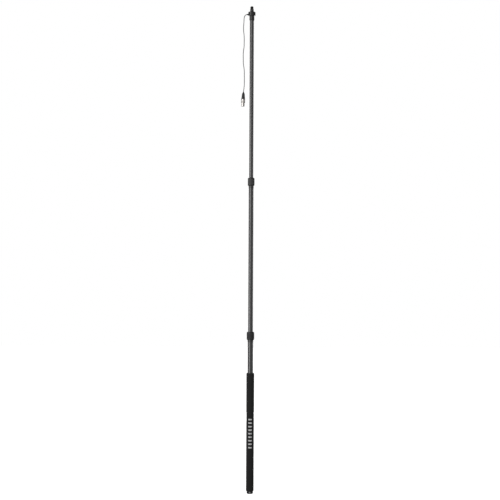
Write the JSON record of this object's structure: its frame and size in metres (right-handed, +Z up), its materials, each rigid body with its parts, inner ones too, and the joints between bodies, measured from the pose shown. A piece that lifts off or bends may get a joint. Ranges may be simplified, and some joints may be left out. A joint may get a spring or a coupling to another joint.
{
  "type": "boom pole",
  "caption": "Telescopic carbon boom pole, extended, with twist locks, foam grip, coiled inner cable, hanging plug tail at the threaded head and a socket in the butt.",
  "frame": {"origin": "centre of the butt's lower face, where the pole rests when stood on end", "axes": "+Z up along the pole to the microphone thread, the tail cord hangs on the -X side, and +Y is away from the side that the plug's latch faces"},
  "size_m": [0.0739, 0.0398, 2.5],
  "materials": {
    "carbon": "woven carbon fibre under a satin clear coat",
    "foam": "closed-cell foam, matt, fine pores",
    "anodised": "black anodised, bead-blasted",
    "rubber": "moulded rubber, matt",
    "acetal": "natural acetal, smooth",
    "nylon": "black nylon, fine moulded texture",
    "nickel": "satin nickel plate",
    "steel": "bright stainless steel",
    "brass": "turned brass",
    "gold": "gold-plated contact",
    "pvc": "black cable jacket, slightly shiny"
  },
  "bodies": {
    "handle": {"lower_tube": "carbon", "foam_grip": "foam", "butt_cap": "anodised", "butt_bumper": "rubber", "butt_socket": "anodised", "butt_screws": "steel", "xlr_out_shell": "nickel", "xlr_out_insert": "nylon", "xlr_out_pins": "gold", "butt_lead": "pvc", "coil_anchor_lower": "acetal", "coil_lower": "pvc", "lower_ferrule": "anodised"},
    "lower_collet": {"lower_collet": "acetal", "lower_thrust_ring": "brass"},
    "lower_nut": {"lower_nut": "anodised", "lower_nut_sleeve": "rubber", "lower_wiper": "rubber"},
    "middle_guide": {"middle_guide_bush": "acetal"},
    "middle_section": {"middle_tube": "carbon", "middle_end_cap": "nylon", "middle_stop_ring": "anodised", "upper_ferrule": "anodised", "coil_upper": "pvc"},
    "upper_collet": {"upper_collet": "acetal", "upper_thrust_ring": "brass"},
    "upper_nut": {"upper_nut": "anodised", "upper_nut_sleeve": "rubber", "upper_wiper": "rubber"},
    "top_guide": {"top_guide_bush": "acetal"},
    "top_section": {"top_tube": "carbon", "top_end_cap": "nylon", "top_stop_ring": "anodised", "head_body": "anodised", "head_cover": "anodised", "head_screws": "steel", "neck_ring": "rubber", "cable_grommet": "rubber", "coil_anchor_upper": "acetal", "head_lead": "pvc", "thread_stud": "steel", "cord_tail": "pvc", "tail_boot": "rubber", "tail_chuck": "acetal", "tail_shell": "nickel", "tail_insert": "nylon", "tail_contacts": "gold", "tail_wires": "brass"},
    "tail_latch": {"tail_latch": "nickel", "tail_latch_spring": "steel"},
    "adapter_washer": {"adapter_washer": "nylon"},
    "thread_adapter": {"thread_adapter": "anodised"}
  },
  "joints": [
    {"name": "lower_lift", "type": "slide", "parent": "handle", "child": "lower_collet", "axis": [0, 0, 1], "range_m": [0, 0.00075]},
    {"name": "lower_lock", "type": "hinge", "parent": "lower_collet", "child": "lower_nut", "pos_m": [0, 0, 0.8], "axis": [0, 0, 1], "range_deg": [0, 180]},
    {"name": "middle_slide", "type": "slide", "parent": "handle", "child": "middle_guide", "axis": [0, 0, 1], "range_m": [-0.68, 0], "deforming": ["coil_lower"]},
    {"name": "middle_turn", "type": "hinge", "parent": "middle_guide", "child": "middle_section", "pos_m": [0, 0, 0.77], "axis": [0, 0, 1], "range_deg": [-180, 180]},
    {"name": "upper_lift", "type": "slide", "parent": "middle_section", "child": "upper_collet", "axis": [0, 0, 1], "range_m": [0, 0.00075]},
    {"name": "upper_lock", "type": "hinge", "parent": "upper_collet", "child": "upper_nut", "pos_m": [0, 0, 1.59], "axis": [0, 0, 1], "range_deg": [0, 180]},
    {"name": "top_slide", "type": "slide", "parent": "middle_section", "child": "top_guide", "axis": [0, 0, 1], "range_m": [-0.76, 0], "deforming": ["coil_upper"]},
    {"name": "top_turn", "type": "hinge", "parent": "top_guide", "child": "top_section", "pos_m": [0, 0, 1.56], "axis": [0, 0, 1], "range_deg": [-180, 180]},
    {"name": "latch_press", "type": "slide", "parent": "top_section", "child": "tail_latch", "axis": [0, 1, 0], "range_m": [0, 0.0015], "stiffness_N_per_m": 500, "springref_m": -0.001},
    {"name": "adapter_lift", "type": "slide", "parent": "top_section", "child": "adapter_washer", "axis": [0, 0, 1], "range_m": [0, 0.00159]},
    {"name": "adapter_turn", "type": "hinge", "parent": "adapter_washer", "child": "thread_adapter", "pos_m": [0, 0, 2.48], "axis": [0, 0, 1], "range_deg": [0, 360]}
  ],
  "couplings": [
    {"joint": "lower_lock", "follows": "lower_lift", "rad_per_m": 4188.8},
    {"joint": "upper_lock", "follows": "upper_lift", "rad_per_m": 4188.8},
    {"joint": "adapter_turn", "follows": "adapter_lift", "rad_per_m": 3957.9}
  ]
}
